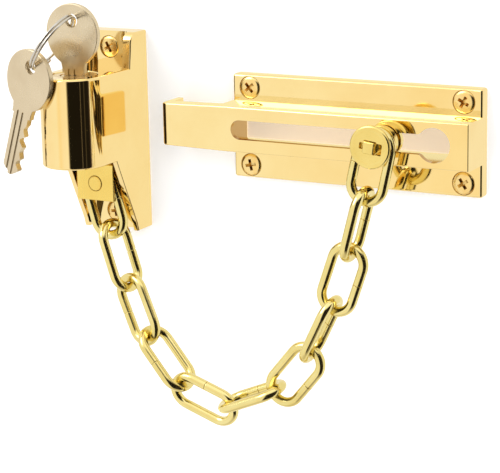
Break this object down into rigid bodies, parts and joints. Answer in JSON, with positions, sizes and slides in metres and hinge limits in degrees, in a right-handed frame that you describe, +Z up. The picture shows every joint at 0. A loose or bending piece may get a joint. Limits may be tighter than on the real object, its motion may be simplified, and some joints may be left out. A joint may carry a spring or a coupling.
{
  "type": "door chain guard",
  "caption": "Keyed door chain guard: frame keeper with a lock cylinder, a link chain, and a slide track with a keyhole slot for the chain's button.",
  "frame": {"origin": "centre of the keeper's back face, on the surface it is screwed to", "axes": "+X along the wall from the keeper towards the track, +Y into the wall, +Z up"},
  "size_m": [0.1594, 0.0631, 0.1438],
  "materials": {
    "plated_housing": "polished plating over cast zinc",
    "zinc_plated_steel": "zinc-plated steel",
    "plated_screws": "bright plated steel",
    "lock_brass": "machined",
    "spring_steel": "satin",
    "satin_block": "satin plated",
    "chain_brass": "polished",
    "plated_track": "polished plating over cast zinc",
    "button_brass": "polished",
    "nickel_silver": "brushed nickel silver",
    "ring_steel": "bright steel wire"
  },
  "bodies": {
    "keeper_and_track": {"keeper_housing": "plated_housing", "keeper_back_plate": "zinc_plated_steel", "keeper_screw_upper": "plated_screws", "keeper_screw_lower": "plated_screws", "lock_cylinder_shell": "lock_brass", "track_plate": "plated_track", "track_screw_upper_left": "plated_screws", "track_screw_lower_left": "plated_screws", "track_screw_upper_right": "plated_screws", "track_screw_lower_right": "plated_screws"},
    "plug": {"lock_plug": "lock_brass", "tumbler_wafer_1": "lock_brass", "tumbler_wafer_2": "lock_brass", "tumbler_wafer_3": "lock_brass", "tumbler_wafer_4": "lock_brass", "plug_retaining_clip": "spring_steel", "lock_cam": "spring_steel"},
    "latch": {"latch_bolt": "spring_steel"},
    "key": {"key_in_lock": "nickel_silver"},
    "ring": {"key_ring": "ring_steel"},
    "spare_key": {"key_spare": "nickel_silver"},
    "anchor": {"anchor_block": "satin_block", "anchor_pin": "satin_block"},
    "button": {"button_collar": "button_brass"},
    "button_stud_and_washer": {"button_stud": "button_brass", "button_washer": "button_brass"},
    "link_01": {"chain_link_01": "chain_brass"},
    "link_02": {"chain_link_02": "chain_brass"},
    "link_03": {"chain_link_03": "chain_brass"},
    "link_04": {"chain_link_04": "chain_brass"},
    "link_05": {"chain_link_05": "chain_brass"},
    "link_06": {"chain_link_06": "chain_brass"},
    "link_07": {"chain_link_07": "chain_brass"},
    "link_08": {"chain_link_08": "chain_brass"},
    "link_09": {"chain_link_09": "chain_brass"},
    "link_10": {"chain_link_10": "chain_brass"},
    "link_11": {"chain_link_11": "chain_brass"}
  },
  "joints": [
    {"name": "button_slide", "type": "slide", "parent": "keeper_and_track", "child": "button", "axis": [1, 0, 0], "range_m": [-0.0518, 0.017]},
    {"name": "button_spin", "type": "hinge", "parent": "button", "child": "button_stud_and_washer", "pos_m": [0.1073, -0.0215, 0.0055], "axis": [0, -1, 0], "continuous": true},
    {"name": "link_11_hinge", "type": "hinge", "parent": "button", "child": "link_11", "pos_m": [0.1073, -0.0215, 0.0055], "axis": [0, -1, 0], "range_deg": [-6.7, 18.35]},
    {"name": "link_10_hinge", "type": "hinge", "parent": "link_11", "child": "link_10", "pos_m": [0.10437, -0.0215, -0.00735], "axis": [0, -1, 0], "range_deg": [-2.31, 4.99]},
    {"name": "link_09_hinge", "type": "hinge", "parent": "link_10", "child": "link_09", "pos_m": [0.09688, -0.02063, -0.03421], "axis": [0, -1, 0], "range_deg": [-6.13, 2.68]},
    {"name": "link_08_hinge", "type": "hinge", "parent": "link_09", "child": "link_08", "pos_m": [0.09295, -0.02026, -0.04523], "axis": [0, -1, 0], "range_deg": [-2.04, 1.34]},
    {"name": "link_07_hinge", "type": "hinge", "parent": "link_08", "child": "link_07", "pos_m": [0.08053, -0.01939, -0.07019], "axis": [0, -1, 0], "range_deg": [-1.78, 1.25]},
    {"name": "link_06_hinge", "type": "hinge", "parent": "link_07", "child": "link_06", "pos_m": [0.0731, -0.0192, -0.07923], "axis": [0, -1, 0], "range_deg": [-9.44, 3.77]},
    {"name": "link_05_hinge", "type": "hinge", "parent": "link_06", "child": "link_05", "pos_m": [0.04745, -0.01941, -0.0902], "axis": [0, -1, 0], "range_deg": [-17.27, 6.34]},
    {"name": "link_04_hinge", "type": "hinge", "parent": "link_05", "child": "link_04", "pos_m": [0.03647, -0.01994, -0.08622], "axis": [0, -1, 0], "range_deg": [-2.71, 1.56]},
    {"name": "link_03_hinge", "type": "hinge", "parent": "link_04", "child": "link_03", "pos_m": [0.01821, -0.01874, -0.06515], "axis": [0, -1, 0], "range_deg": [-6.85, 2.92]},
    {"name": "link_02_hinge", "type": "hinge", "parent": "link_03", "child": "link_02", "pos_m": [0.0129, -0.01719, -0.05484], "axis": [0, -1, 0], "range_deg": [-8.04, 3.31]},
    {"name": "anchor_slide", "type": "slide", "parent": "keeper_and_track", "child": "anchor", "axis": [0, 0, -1], "range_m": [0, 0.0045]},
    {"name": "link_01_hinge", "type": "hinge", "parent": "anchor", "child": "link_01", "pos_m": [0, -0.0157, -0.0167], "axis": [0, -1, 0], "range_deg": [-17.42, 6.39]},
    {"name": "key_turn", "type": "hinge", "parent": "keeper_and_track", "child": "plug", "pos_m": [0, -0.028, 0], "axis": [0, 0, 1], "range_deg": [0, 90]},
    {"name": "latch_slide", "type": "slide", "parent": "keeper_and_track", "child": "latch", "axis": [0, 1, 0], "range_m": [-0.0001, 0.0043]},
    {"name": "key_withdraw", "type": "slide", "parent": "plug", "child": "key", "axis": [0, 0, 1], "range_m": [0, 0.026]},
    {"name": "ring_swing", "type": "hinge", "parent": "key", "child": "ring", "pos_m": [0, -0.028, 0.0408], "axis": [0, 1, 0], "range_deg": [0, 12]},
    {"name": "spare_key_swing", "type": "hinge", "parent": "ring", "child": "spare_key", "pos_m": [-0.00807, -0.04078, 0.02655], "axis": [0.1959, 0.9806, 0], "range_deg": [-10, 10]}
  ],
  "couplings": [
    {"joint": "link_11_hinge", "follows": "button_slide", "rad_per_m": -5.8468},
    {"joint": "link_10_hinge", "follows": "button_slide", "rad_per_m": -1.3439},
    {"joint": "link_09_hinge", "follows": "button_slide", "rad_per_m": 1.7279},
    {"joint": "link_08_hinge", "follows": "button_slide", "rad_per_m": 0.34907},
    {"joint": "link_07_hinge", "follows": "button_slide", "rad_per_m": 0.2618},
    {"joint": "link_06_hinge", "follows": "button_slide", "rad_per_m": 2.8449},
    {"joint": "link_05_hinge", "follows": "button_slide", "rad_per_m": 5.4803},
    {"joint": "link_04_hinge", "follows": "button_slide", "rad_per_m": 0.57596},
    {"joint": "link_03_hinge", "follows": "button_slide", "rad_per_m": 1.9722},
    {"joint": "link_02_hinge", "follows": "button_slide", "rad_per_m": 2.3737},
    {"joint": "link_01_hinge", "follows": "button_slide", "rad_per_m": 5.5327},
    {"joint": "latch_slide", "follows": "key_turn", "m_per_rad": 0.0026738}
  ]
}
